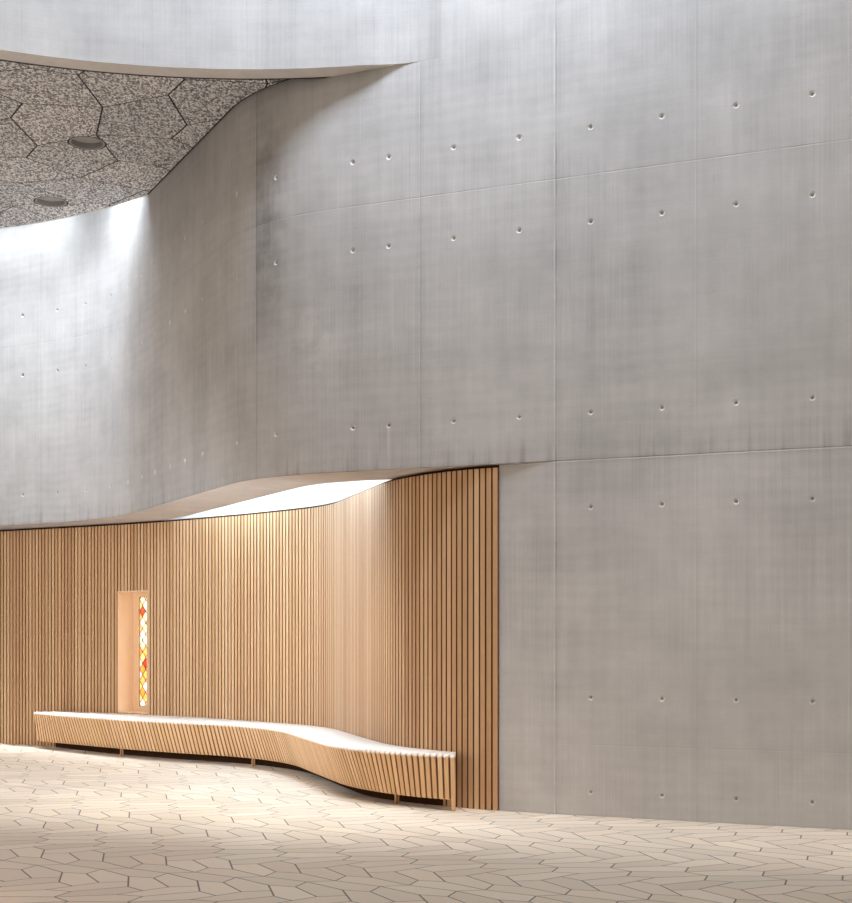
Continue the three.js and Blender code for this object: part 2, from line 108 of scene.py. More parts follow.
# The room beyond the bay: a plain glow of warm light from all round, bright level with the eye
# and nearly dark overhead, where the lamps give the daylight instead.
class Field:
    """Something that varies over a surface. Sums and products of it become shader nodes."""

    def __init__(self, tree, socket=None):
        self.tree = tree
        self.socket = socket

    def node(self, kind, settings=(), sockets=(), output=0):
        made = self.tree.nodes.new(kind)
        for name, value in dict(settings).items():
            if name == "stops":
                made.color_ramp.interpolation = "CONSTANT"
                ramp = made.color_ramp.elements
                while len(ramp) < len(value):
                    ramp.new(0.5)
                for stop, (position, colour) in zip(ramp, value):
                    stop.position = position
                    stop.color = colour
            else:
                setattr(made, name, value)
        for name, value in dict(sockets).items():
            if isinstance(value, Field):
                self.tree.links.new(value.socket, made.inputs[name])
            else:
                made.inputs[name].default_value = value
        return Field(self.tree, made.outputs[output])

    def maths(self, operation, *values):
        return self.node("ShaderNodeMath", {"operation": operation}, enumerate(values))

    def __add__(self, other):
        return self.maths("ADD", self, other)

    def __radd__(self, other):
        return self.maths("ADD", other, self)

    def __sub__(self, other):
        return self.maths("SUBTRACT", self, other)

    def __rsub__(self, other):
        return self.maths("SUBTRACT", other, self)

    def __mul__(self, other):
        return self.maths("MULTIPLY", self, other)

    def __rmul__(self, other):
        return self.maths("MULTIPLY", other, self)


def axis_of(field, axis):
    return field.node("ShaderNodeSeparateXYZ", {}, {0: field}, axis)


def step(field, low, high, start=0.0, end=1.0):
    """Runs smoothly from start to end while the field runs from low to high."""
    sockets = {0: field, 1: low, 2: high, 3: start, 4: end}
    return field.node("ShaderNodeMapRange", {"interpolation_type": "SMOOTHSTEP"}, sockets)


def mix(factor, first, second):
    return factor.node("ShaderNodeMix", {"data_type": "RGBA"}, {0: factor, 6: first, 7: second}, 2)


EYE_LEVEL_GLOW = (1, 0.87, 0.75, 1)
OVERHEAD_GLOW = (0.04, 0.04, 0.04, 1)
world = bpy.data.worlds.new("warm_room_glow")
world.use_nodes = True
backdrop = world.node_tree.nodes["Background"]
up = axis_of(Field(world.node_tree).node("ShaderNodeTexCoord", output="Generated"), "Z")
glow = mix(step(up, 0.05, 0.9), EYE_LEVEL_GLOW, OVERHEAD_GLOW)
world.node_tree.links.new(glow.socket, backdrop.inputs["Color"])
backdrop.inputs["Strength"].default_value = 1.08
bpy.context.scene.world = world


# The stage: a plain pale floor all round the bay, far wider than the bay itself and level with
# the underside of its slab.
def new_material(name, fixed):
    """A material with its constant values, and the place on the object that patterns read."""
    material = bpy.data.materials.new(name)
    material.use_nodes = True
    shader = material.node_tree.nodes["Principled BSDF"]
    for socket, value in fixed.items():
        shader.inputs[socket].default_value = value
    return material, Field(material.node_tree).node("ShaderNodeTexCoord", output="Object")


stage_shape = bmesh.new()
bmesh.ops.create_grid(stage_shape, x_segments=1, y_segments=1, size=60)
stage_mesh = bpy.data.meshes.new("stage")
stage_shape.to_mesh(stage_mesh)
stage_shape.free()
stage = bpy.data.objects.new("stage", stage_mesh)
bpy.context.scene.collection.objects.link(stage)
pale, _ = new_material("pale_stage", {"Base Color": (0.78, 0.77, 0.75, 1), "Roughness": 0.9})
stage_mesh.materials.append(pale)


# Fair-faced concrete, cast on the spot against smooth sheets 2.5 m high and 1.25 m wide: clouded,
# a little blotched and streaked, with open pores. The mortar of tie holes is paler. Soffits are
# paler and warmer: painted bounce light from the floor and timber below.
CONCRETE_GREY = (0.47, 0.455, 0.435)


def surface(material, varying):
    shader = material.node_tree.nodes["Principled BSDF"]
    for socket, field in varying.items():
        material.node_tree.links.new(field.socket, shader.inputs[socket])


def stretched(place, scale):
    return place.node("ShaderNodeMapping", {}, {"Vector": place, "Scale": scale})


def noise(place, scale, detail=3, roughness=0.5):
    sockets = {"Vector": place, "Scale": scale, "Detail": detail, "Roughness": roughness}
    return place.node("ShaderNodeTexNoise", {}, sockets)


def bump(height, strength, distance):
    sockets = {"Height": height, "Strength": strength, "Distance": distance}
    return height.node("ShaderNodeBump", {}, sockets)


def toned(colour, tone):
    """A colour made lighter or darker by a tone of about 1."""
    return tone.node("ShaderNodeVectorMath", {"operation": "SCALE"}, {0: colour, "Scale": tone})


def concrete_tone(place):
    """Clouds, blotches, faint pour layers and pores, about 1 on average, and the height of the skin."""
    clouds = noise(place, 0.55, 5, 0.6)
    blotches = noise(place, 2.8, 4, 0.62)
    layers = noise(stretched(place, (0.25, 0.25, 1.6)), 1.6, 4, 0.6)
    runs = noise(stretched(place, (5, 5, 0.35)), 1.4, 3, 0.5)
    grain = noise(place, 90, 2, 0.6)
    tone = 1 + (clouds - 0.5) * 0.6 + (blotches - 0.5) * 0.34 + (layers - 0.5) * 0.26
    tone = tone + (runs - 0.5) * 0.18 + (grain - 0.5) * 0.12
    pores = place.node("ShaderNodeTexVoronoi", {}, {"Vector": place, "Scale": 22})
    patches = noise(place, 1.1, 2)
    open_pores = step(pores, 0.05, 0.1, 1, 0) * step(patches, 0.45, 0.7)
    skin = grain * 0.3 + blotches * 0.5 - open_pores
    return tone - open_pores * 0.25, skin


def plain_concrete(name, colour, roughness, strength, depth=0.003, specular=0.5):
    material, place = new_material(name, {"Roughness": roughness, "Specular IOR Level": specular})
    tone, skin = concrete_tone(place)
    surface(material, {"Base Color": toned(colour, tone), "Normal": bump(skin, strength, depth)})
    return material


cast_concrete = plain_concrete("cast_concrete", CONCRETE_GREY, 0.8, 0.35, 0.004, 0.35)
# The soffits' paler, warmer colours are painted bounce light from the floor and timber below.
soffit_painted_bounce_light = plain_concrete("soffit_painted_bounce_light", (0.55, 0.5, 0.45), 0.75, 0.2)
drum_soffit_painted_bounce_light = plain_concrete("drum_soffit_with_painted_bounce_light", (0.78, 0.72, 0.66), 0.75, 0.2)
tie_mortar = plain_concrete("tie_hole_mortar", (0.62, 0.6, 0.57), 0.85, 0.3)
# The plug's dark grey is painted shade at the bottom of each tie hole.
tie_plug_shade = plain_concrete("tie_hole_plug_painted_shade", (0.3, 0.29, 0.275), 0.9, 0.3)

# The walls' seen faces: the edges of the sheets left faint lines with fine fins, the pours left
# stronger ones, and the level ones stand out. The UV maps run along each wall and up from the floor.
SHEET_JOINTS = [
    (1.238, 0.5), (2.488, 0.55), (3.736, 1.8), (5.034, 1.2), (5.635, 0.45), (6.912, 1.6),
    (7.649, 0.4), (8.689, 0.8), (9.9, 0.35), (11.058, 1), (12.2, 0.35), (13.448, 0.7),
    (21.877, 0.5), (24.377, 0.3), (26.877, 0.5),
]
LIFTS = [(0.625, 0.3), (3.125, 1.4), (5.625, 0.6), (8.125, 0.5)]
POUR_JOINT = 6.912
FIRST_LIFT = 3.125
DAMP_PATCH = (6.78, 5.7)
PALE_SWIRL = (6.15, 4.35)
DRIP = 5.36


def close_to(field, position, reach, strength=1):
    """As strong as given at the position, and nothing beyond the reach."""
    return step(field.maths("ABSOLUTE", field - position), 0, reach, strength, 0)


def lines_at(field, marks, width):
    """A mask of thin lines where the field passes each mark, as strong as the mark says."""
    return sum(close_to(field, position, width, strength) for position, strength in marks)


def sheet_tones(field, marks, amount, seed):
    """A different tone between each mark and the next."""
    tones = random.Random(seed)
    return sum(
        step(field, position - 0.002, position + 0.002, 0, tones.uniform(-amount, amount))
        for position, _ in marks)


sheet_concrete, place = new_material("sheet_cast_concrete", {"Roughness": 0.72, "Specular IOR Level": 0.4})
tone, skin = concrete_tone(place)
unrolled = place.node("ShaderNodeUVMap")
along, height = axis_of(unrolled, "X"), axis_of(unrolled, "Y")

wander = (noise(place, 7) - 0.5) * 0.006
broken = step(noise(place, 3.5), 0.35, 0.65, 0.3, 1)
level_edges = lines_at(height + wander, LIFTS, 0.007)
level_fins = lines_at(height + wander + 0.012, LIFTS, 0.009)
edges = lines_at(along + wander, SHEET_JOINTS, 0.007) + level_edges
fins = lines_at(along + wander - 0.014, SHEET_JOINTS, 0.014) + level_fins
bleed = lines_at(along, SHEET_JOINTS, 0.09) + lines_at(height, LIFTS, 0.06)
tone = tone + sheet_tones(along, SHEET_JOINTS, 0.04, 4)
tone = tone + step(height, FIRST_LIFT - 0.002, FIRST_LIFT + 0.002, 0.06, 0)

woven = step(noise(place, 0.8, 2), 0.35, 0.65, 0.15, 1)
laid = along.maths("SINE", height * 54 + (noise(place, 1.6, 2) - 0.5) * 7)
upright = along.maths("SINE", along * 57 + (noise(place, 1.1, 2) - 0.5) * 6)
threads = noise(stretched(unrolled, (1.5, 70, 1)), 1, 2, 0.6) - 0.5
strands = noise(stretched(unrolled, (55, 0.8, 1)), 1, 2, 0.6) - 0.5
tone = tone + laid * woven * 0.02 + upright * woven * 0.013 + threads * 0.1
tone = tone + strands * step(noise(place, 0.9, 2), 0.4, 0.6, 0.08, 0.3)

blotches = noise(place, 4.5, 3, 0.6)
damp = close_to(along, DAMP_PATCH[0], 0.5) * close_to(height, DAMP_PATCH[1], 1.9)
damp = damp * step(strands + blotches, 0.3, 0.7, 0.45, 1)
damp = damp * step(along, POUR_JOINT - 0.012, POUR_JOINT + 0.008, 1, 0.15)
swirl = close_to(along, PALE_SWIRL[0], 0.45) * close_to(height, PALE_SWIRL[1], 0.6)
swirl = swirl * step(blotches, 0.35, 0.6)
drip = close_to(along + wander, DRIP, 0.03) * step(height, 3.5, 3.52, 1, 0)
drip = drip * step(height, FIRST_LIFT, FIRST_LIFT + 0.005)
weeps = step(height, 3.13, 3.42, 1, 0) * step(height, FIRST_LIFT - 0.005, FIRST_LIFT)
weeps = weeps * step(noise(stretched(unrolled, (10, 0.4, 1)), 1, 3, 0.6), 0.5, 0.7)
tone = tone - damp * 0.42 + swirl * 0.14 + drip * 0.22 - weeps * 0.2
tone = tone - edges * broken * 0.26 + fins * broken * 0.17 - bleed * 0.045
skin = skin + (level_fins - level_edges * 2) * broken
surface(sheet_concrete, {"Base Color": toned(CONCRETE_GREY, tone), "Normal": bump(skin, 0.35, 0.004)})


# The cast walls: each pour keeps its node's shape, with its seen faces unrolled along the wall.
# Form ties left cone-shaped holes in rows, pointed with mortar round a darker plug; the plug's dark
# grey is painted shade at the bottom of each hole.
class PlanLine:
    """A wall's line in plan, of straights and tangent arcs. Offsets go into the room."""

    MARK = 0.02

    def __init__(self, start, heading, run):
        self.pieces = []
        x, y = start
        turned = math.radians(heading)
        self.length = 0.0
        for length, turn in run:
            bend = math.radians(turn) / length
            self.pieces.append((self.length, length, x, y, turned, bend))
            x, y = self.walk(x, y, turned, bend, length)
            turned += bend * length
            self.length += length
        self.marks = [self.at(self.MARK * i) for i in range(int(self.length / self.MARK) + 1)]

    def walk(self, x, y, heading, bend, along):
        if bend == 0:
            return x - along * math.cos(heading), y + along * math.sin(heading)
        end = heading + bend * along
        across = (math.sin(end) - math.sin(heading)) / bend
        return x - across, y - (math.cos(end) - math.cos(heading)) / bend

    def piece(self, station):
        return next((p for p in self.pieces if station <= p[0] + p[1]), self.pieces[-1])

    def heading(self, station):
        start, _, _, _, turned, bend = self.piece(station)
        return turned + bend * (station - start)

    def at(self, station, offset=0.0, height=0.0):
        start, _, x, y, turned, bend = self.piece(station)
        x, y = self.walk(x, y, turned, bend, station - start)
        turned = self.heading(station)
        return Vector((x - offset * math.sin(turned), y - offset * math.cos(turned), height))

    def station(self, point):
        gaps = [(mark.x - point.x) ** 2 + (mark.y - point.y) ** 2 for mark in self.marks]
        nearest = gaps.index(min(gaps))
        turned = self.heading(self.MARK * nearest)
        offset = point - self.marks[nearest]
        return self.MARK * nearest - offset.x * math.cos(turned) + offset.y * math.sin(turned)


nave_run = [(5.997, 0), (1.464, 39.7), (3.662, 0), (2.151, -32.6), (3, 0)]
nave_line = PlanLine((5.525, -3.633), NAVE_HEADING, nave_run)
ALCOVE_START = 3.736
alcove_run = [
    (0.51, 2), (0.635, 21.2), (1.31, 27.4), (1.765, 0), (1.05, -25.7), (4.47, -17.9), (2.6, 0)]
alcove_line = PlanLine(nave_line.at(ALCOVE_START).xy, NAVE_HEADING, alcove_run)
drum_line = PlanLine((1.525, -1.954), 22.1, [(8.6, -82.5)])
DRUM_JOINTS_FROM = 20

TIE_STATIONS = [
    0.29, 0.91, 1.54, 2.16, 2.79, 3.42, 4.08, 4.71, 5.36, 5.73, 6.61, 7.29, 8.36, 8.98, 9.55,
    10.16, 10.72, 11.33, 11.91, 12.54, 13.13, 13.79,
]
TIE_HEIGHTS = [0.21, 1.04, 2.71, 3.54, 5.21, 6.04, 7.71]
TIE_MOUTH = 0.036
TIE_END = 0.014
TIE_DEPTH = 0.022
TIE_SETBACK = 0.003


def copy_of(node):
    """A CAD node's shape with its triangles joined."""
    shape = bmesh.new()
    shape.from_mesh(nodes[node].data)
    bmesh.ops.remove_doubles(shape, verts=shape.verts, dist=1e-5)
    bmesh.ops.dissolve_limit(shape, angle_limit=0.002, verts=shape.verts, edges=shape.edges)
    return shape


def soften(shape, sharpest=25):
    """Gentle bends are shaded smooth and real edges stay crisp."""
    for face in shape.faces:
        face.smooth = True
    for edge in shape.edges:
        edge.smooth = len(edge.link_faces) == 2 and edge.calc_face_angle() < math.radians(sharpest)


def piece(name, shape, materials, replaced):
    """Makes the object, hides the nodes that it stands for, and fixes it to the bay."""
    mesh = bpy.data.meshes.new(name)
    shape.to_mesh(mesh)
    shape.free()
    for material in materials:
        mesh.materials.append(material)
    made = bpy.data.objects.new(name, mesh)
    bpy.context.scene.collection.objects.link(made)
    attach(made, "root")
    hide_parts(*replaced)
    return made


def dress(names, material):
    """Gives its material to each CAD node that is shown as it is."""
    for name in names:
        nodes[name].data.materials.clear()
        nodes[name].data.materials.append(material)


def unroll(shape, line, first):
    """Maps every face by its station along the wall and its height above the floor."""
    uv = shape.loops.layers.uv.new("UVMap")
    stations = {v: line.station(v.co) + first for v in shape.verts}
    for face in shape.faces:
        for loop in face.loops:
            loop[uv].uv = (stations[loop.vert], loop.vert.co.z - FLOOR)


def tie_cones(line, stations, heights):
    """One cutter for all the tie holes of a wall, whose small ends are the plugs."""
    cones = bmesh.new()
    for station in stations:
        turned = line.heading(station)
        facing = Matrix.Rotation(-turned, 4, "Z") @ Matrix.Rotation(math.radians(-90), 4, "X")
        for level in heights:
            spot = Matrix.Translation(line.at(station, -TIE_SETBACK, FLOOR + level)) @ facing
            bmesh.ops.create_cone(
                cones, cap_ends=True, segments=20, radius1=TIE_MOUTH, radius2=TIE_END,
                depth=TIE_DEPTH, matrix=spot)
    plug_area = math.pi * TIE_END ** 2 * 1.3
    for face in cones.faces:
        face.material_index = int(face.calc_area() < plug_area and len(face.verts) > 4)
    return cones


def cut(made, shape, operation, solver, materials=()):
    """Cuts a piece with another shape and leaves it a plain mesh."""
    mesh = bpy.data.meshes.new("cutter")
    shape.to_mesh(mesh)
    shape.free()
    for material in materials:
        mesh.materials.append(material)
    cutter = bpy.data.objects.new("cutter", mesh)
    bpy.context.scene.collection.objects.link(cutter)
    cutting = made.modifiers.new("cutting", "BOOLEAN")
    cutting.operation = operation
    cutting.solver = solver
    cutting.material_mode = "TRANSFER"
    cutting.object = cutter
    bpy.context.view_layer.update()
    finished = made.evaluated_get(bpy.context.evaluated_depsgraph_get())
    finished_mesh = bpy.data.meshes.new_from_object(finished)
    made.modifiers.clear()
    made.data = finished_mesh
    bpy.data.objects.remove(cutter)


def sheet_cast(node, line, first=0.0, ties=(), flush=None, soffit=soffit_painted_bounce_light):
    """One pour: its UV map, its soffit's paler material of painted bounce light, and its tie holes."""
    shape = copy_of(node)
    if flush:
        for vert in shape.verts:
            flush(vert)
    unroll(shape, line, first)
    soften(shape)
    low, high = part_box(node)
    # Downward faces of a raised pour take the soffit material: painted bounce light from below.
    for face in shape.faces:
        if face.normal.z < -0.9 and low.z > FLOOR + 1:
            face.material_index = 1
    materials = [sheet_concrete, soffit, tie_mortar, tie_plug_shade]
    wall = piece("cast_" + node.removeprefix("nave_"), shape, materials, [node])
    heights = [h for h in TIE_HEIGHTS if low.z + 0.05 < FLOOR + h < high.z - 0.05]
    if ties and heights:
        cut(wall, tie_cones(line, ties, heights), "DIFFERENCE", "EXACT", [tie_mortar, tie_plug_shade])


def ties_between(start, end):
    return [s for s in TIE_STATIONS if start + 0.05 < s < end - 0.05]


def run_out(vert):
    """The drum's face leaves the straight wall's face without a step."""
    heading = math.radians(NAVE_HEADING)
    into_wall = Vector((math.sin(heading), math.cos(heading), 0))
    station = drum_line.station(vert.co)
    proud = (nave_line.at(0) - vert.co).dot(into_wall)
    if station < 1.3 and 0 < proud and (drum_line.at(station) - vert.co).xy.length < 0.02:
        share = max(0.0, min(1.0, (station - 0.68) / 0.6))
        vert.co += (proud - 0.0003) * (1 - share * share * (3 - 2 * share)) * into_wall


NAVE_POURS = {
    "right": (-0.6, ALCOVE_START), "over_bend": (ALCOVE_START, POUR_JOINT),
    "over_alcove": (POUR_JOINT, 11.058), "left": (11.058, 14.9),
}
sheet_cast("nave_wall_foot", nave_line, ties=ties_between(0, ALCOVE_START))
for pour, (start, end) in NAVE_POURS.items():
    for lift in ("middle", "top"):
        sheet_cast(f"nave_wall_{lift}_{pour}", nave_line, ties=ties_between(start, end))
sheet_cast("alcove_wall_right", alcove_line, ALCOVE_START, [0.304])
for pour in ("right", "middle", "left"):
    sheet_cast(f"drum_wall_{pour}", drum_line, DRUM_JOINTS_FROM, flush=run_out, soffit=drum_soffit_painted_bounce_light)
dress((
    "floor_slab", "alcove_wall_bend", "alcove_wall_middle", "alcove_wall_under_window",
    "alcove_wall_over_window", "alcove_wall_left", "chapel_roof_slab", "chapel_roof_curb",
), cast_concrete)


# The chapel's roof slot where it follows the wall's bend: rows of short lamps stand for its sky,
# one straight over the slot and one of narrow beams that lean towards the wall.
SLOT_LAMP_HEIGHT = 7.9
SLOT_ROWS = (
    (0.33, 100, 0, {10.7: 1.7, 11.15: 1.7, 11.6: 4.2, 12.05: 4.2, 12.5: 4.2}),
    (0.42, 30, 8, {10.7: 6, 11.2: 5.5, 11.7: 5, 12.2: 5, 12.7: 5}),
)
for offset, spread, lean, lamps in SLOT_ROWS:
    for station, power in lamps.items():
        spot = nave_line.at(station, offset, SLOT_LAMP_HEIGHT)
        soft_light(
            f"chapel_slot_{spread}_{station}", spot, (0.5, 0.25), power, SLOT_SKY, spread,
            heading=math.degrees(nave_line.heading(station)), lean=lean)


# The light shaft over the alcove is rendered smooth and painted white, to pass daylight down. It
# stands on the alcove wall and rises to the alcove's rooflight.
shaft_render, place = new_material("white_shaft_render", {"Roughness": 0.85})
trowelled = noise(place, 2.2, 4, 0.6)
tone = 1 + (trowelled - 0.5) * 0.08 + (noise(place, 60, 2) - 0.5) * 0.05
surface(shaft_render, {
    "Base Color": toned((0.78, 0.77, 0.75), tone), "Normal": bump(trowelled, 0.2, 0.004)})
dress(("light_shaft_wall_right", "light_shaft_wall_left"), shaft_render)


# The lining: square-edged ash slats, 49 mm wide with 14 mm gaps, screwed upright to a dark backing
# that follows the curved wall. Every slat is its own board, so colour and grain change at each.
SLAT_PITCH = 0.0634
SLAT_WIDTH = 0.049
SLAT_DEPTH = 0.04
BACKING_NEAR = 0.0403
BACKING_FAR = 0.0595
SHADE_FILL_RISE = 0.024
STANDING_GAP = 0.0005
SEATING_GAP = 0.0003
LINING_START = 0.552
LINING_TOP = FLOOR + 3.095
SILL = FLOOR + 0.522
HEAD = FLOOR + 2.188
PANELS = {
    "right": (0, 33, FLOOR, LINING_TOP),
    "bend": (34, 70, FLOOR, LINING_TOP),
    "middle": (71, 96, FLOOR, LINING_TOP),
    "beside_window": (97, 121, FLOOR, LINING_TOP),
    "under_window": (122, 130, FLOOR, SILL - SEATING_GAP),
    "over_window": (122, 130, HEAD + SEATING_GAP, LINING_TOP),
    "left": (131, 172, FLOOR, LINING_TOP),
}
BAY_END = (-5.5249, 0, 0)
TO_NEXT_BAY = (-1, 0, 0)
BOARD_UV_WIDTH = 0.8


def chance_for(number):
    """A random value from 0 to 1 that is the same all over one numbered board, pane or tile."""
    return number.node("ShaderNodeTexWhiteNoise", {"noise_dimensions": "1D"}, {"W": number})


def spot_of(x, y, z):
    return x.node("ShaderNodeCombineXYZ", {}, {"X": x, "Y": y, "Z": z})


def timber(name, pale, deep, side, painted_top_light=False):
    """Ash: each board's own tone from its number in the UV map, grain along it, and darker sides that are
    painted shade in the gaps between boards.
    """
    fixed = {"Specular IOR Level": 0.35, "Sheen Weight": 0.1, "Sheen Roughness": 0.5}
    material, place = new_material(name, fixed)
    unrolled = place.node("ShaderNodeUVMap")
    across, length = axis_of(unrolled, "X"), axis_of(unrolled, "Y")
    board = across.maths("FLOOR", across)
    chance, second = chance_for(board + 0.5), chance_for(board * 3.7 + 11.5)
    broad = noise(spot_of(across * 1.3, board * 7.31, length * 0.35), 4, 3, 0.55)
    rings = broad.maths("SINE", broad * 34)
    fibre = noise(spot_of(across * 26, board * 3.1, length * 2.2), 3, 3, 0.6)
    depth = step(chance, 0, 1, 0.02, 0.62) + rings * 0.09 + (fibre - 0.5) * 0.35 + (broad - 0.5) * 0.5
    warm = mix(second * 0.45, mix(depth, pale, deep), (pale[0] * 0.86, pale[1] * 0.75, pale[2] * 0.76, 1))
    # Each board's sides and arrises take the side colour: painted shade between the boards.
    off_centre = across.maths("ABSOLUTE", across - board - 0.5)
    warm = mix(step(off_centre, 0.375, 0.398), warm, side)
    # Paler rib tops: a painted highlight where the light from above falls on the seat.
    if painted_top_light:
        top_highlight = step(axis_of(place, "Z"), FLOOR + 0.472, FLOOR + 0.492, 0, 0.85)
        warm = mix(top_highlight, warm, (0.86, 0.78, 0.7, 1))
    surface(material, {
        "Base Color": warm,
        "Roughness": step(fibre, 0.2, 0.8, 0.48, 0.66),
        "Normal": bump(rings * 0.25 + fibre, 0.25, 0.0012),
    })
    return material


slat_ash = timber(
    "oiled_ash_slats", (0.66, 0.425, 0.225, 1), (0.39, 0.195, 0.07, 1), (0.12, 0.045, 0.012, 1))
# The backing's near-black also serves as painted shade: on the kick board under the bench and in the gap
# over the slats.
dark_backing_and_shade, place = new_material("dark_backing_and_shade", {"Roughness": 0.9, "Specular IOR Level": 0.1})
tone = 1 + (noise(place, 12) - 0.5) * 0.5
surface(dark_backing_and_shade, {
    "Base Color": toned((0.04, 0.016, 0.006), tone), "Normal": bump(noise(place, 200, 2), 0.2, 0.001)})


def upright_board(shape, line, station, width, depth, bottom, top, number):
    """One bevelled board standing on the line, with its number and heights in the UV map."""
    turned = line.heading(station + width / 2)
    spot = Matrix.Translation(line.at(station + width / 2, -depth / 2, (bottom + top) / 2))
    spot = spot @ Matrix.Rotation(-turned, 4, "Z") @ Matrix.Diagonal((width, depth, top - bottom, 1))
    made = bmesh.ops.create_cube(shape, size=1, matrix=spot)
    tall = [e for e in {e for v in made["verts"] for e in v.link_edges}
            if abs(e.verts[0].co.z - e.verts[1].co.z) > 0.1]
    rounded = bmesh.ops.bevel(
        shape, geom=tall, offset=0.0018, segments=2, profile=0.5, affect="EDGES", material=-1)
    uv = shape.loops.layers.uv.verify()
    centre = line.at(station + width / 2)
    direction = Vector((-math.cos(turned), math.sin(turned), 0))
    for face in {f for v in rounded["verts"] for f in v.link_faces}:
        for loop in face.loops:
            offset = (loop.vert.co - centre).dot(direction) / width
            loop[uv].uv = (number + 0.5 + BOARD_UV_WIDTH * offset, loop.vert.co.z - FLOOR)


def raised(shape, faces, vector):
    """Extrudes the faces along a vector and gives back the new vertices."""
    grown = bmesh.ops.extrude_face_region(shape, geom=faces)
    moved = [v for v in grown["geom"] if isinstance(v, bmesh.types.BMVert)]
    bmesh.ops.translate(shape, verts=moved, vec=vector)
    return moved


def backing_strip(shape, line, start, end, near, far, bottom, top, material_index=1):
    """A thin curved panel that follows the line."""
    steps = max(2, int((end - start) / 0.1))
    stations = [start + (end - start) * i / steps for i in range(steps + 1)]
    outline = [line.at(s, near, bottom) for s in stations]
    outline += [line.at(s, far, bottom) for s in reversed(stations)]
    face = shape.faces.new([shape.verts.new(point) for point in outline])
    face.material_index = material_index
    lifted = raised(shape, [face], (0, 0, top - bottom))
    for made in {f for v in lifted for f in v.link_faces}:
        made.material_index = material_index


def square_off(shape, point, outward):
    """Saws everything off at an upright plane and closes the cuts."""
    sawn = bmesh.ops.bisect_plane(
        shape, geom=shape.verts[:] + shape.edges[:] + shape.faces[:],
        plane_co=point, plane_no=outward, clear_outer=True)
    bmesh.ops.holes_fill(shape, edges=[e for e in sawn["geom_cut"] if isinstance(e, bmesh.types.BMEdge)])


for panel, (first, last, bottom, top) in PANELS.items():
    shape = bmesh.new()
    shape.loops.layers.uv.verify()
    foot = bottom + STANDING_GAP
    for i in range(first, last + 1):
        station = LINING_START + i * SLAT_PITCH
        upright_board(shape, alcove_line, station, SLAT_WIDTH, SLAT_DEPTH, foot, top, i)
    start = LINING_START + first * SLAT_PITCH
    end = LINING_START + last * SLAT_PITCH + SLAT_WIDTH
    # Where the slats run to the soffit, the dark backing rises into the gap above them: painted shade in
    # that gap.
    backing_top = top + SHADE_FILL_RISE if top == LINING_TOP else top
    backing_strip(shape, alcove_line, start, end, -BACKING_NEAR, -BACKING_FAR, foot, backing_top)
    if panel == "left":
        square_off(shape, BAY_END, TO_NEXT_BAY)
    bmesh.ops.recalc_face_normals(shape, faces=shape.faces)
    piece(f"slats_{panel}", shape, [slat_ash, dark_backing_and_shade], [f"timber_lining_{panel}"])


# The bench: ash ribs 46 mm thick, rounded and set square to a flowing front edge, on a rail behind
# their fronts and short posts, over a dark kick board whose colour is painted shade under the seat.
# The first rib runs down to the floor as an end leg.
RIBS = 141
RIB_PITCH = 0.065
RIB_WIDTH = 0.046
SEAT = 0.51
FOOT = 0.1
LEAN = 0.14
UPRIGHT_LEAN = 0.03
NOSE = 0.024
RIB_ROUNDING = 0.007
WALL_GAP = 0.012
FIRST_RIB_NUMBER = 300
POSTS = (12, 75, 111)
POST_RADIUS = 0.022
POST_SETBACK = 0.2
FIRST_POST_NUMBER = 500
bench_run = [(1.95, 47.6), (1.615, 0.8), (1.975, -40.7), (3.64, 17.2)]
bench_line = PlanLine((1.187, -2.057), 23.7, bench_run)
BENCH_BACK = (1.0, 10.48)
# The ribs' paler tops are a painted highlight of the light falling on the seat.
bench_ash = timber(
    "oiled_ash_ribs", (0.84, 0.58, 0.33, 1), (0.6, 0.36, 0.15, 1), (0.34, 0.16, 0.055, 1), painted_top_light=True)


def rib_depth(i):
    """How far a rib runs back before it meets the slats."""
    station = (i + 0.5) * RIB_PITCH
    turned = bench_line.heading(station)
    front = bench_line.at(station)
    inward = Vector((math.sin(turned), math.cos(turned), 0))
    wall = BENCH_BACK[0] + (BENCH_BACK[1] - BENCH_BACK[0]) * (i + 0.5) / RIBS
    tries = [0.02 * k + wall for k in range(-40, 41)]
    nearest = min(tries, key=lambda s: abs((alcove_line.at(s) - front).cross(inward).z))
    return (alcove_line.at(nearest) - front).dot(inward)


def rake(i):
    """The front leans back most along the middle and stands nearly upright at both ends."""
    near_end = min((i + 4) / 26, (RIBS + 10 - i) / 30, 1)
    return UPRIGHT_LEAN + (LEAN - UPRIGHT_LEAN) * near_end * near_end * (3 - 2 * near_end)


def rib_side(depth, lean, foot):
    """A rib's outline: (back from the front edge, up from the floor)."""
    turns = [math.radians(15 * k) for k in range(7)]
    nose = [(NOSE * (1 - math.sin(a)), SEAT - NOSE * (1 - math.cos(a))) for a in turns]
    side = [(depth, SEAT - 0.045), (depth, SEAT)] + nose + [(0.002, SEAT - 0.031), (0.009, SEAT - 0.036)]
    return side + [
        (lean - 0.003, foot + 0.012), (lean + 0.01, foot), (lean + 0.085, foot), (0.105, SEAT - 0.06)]


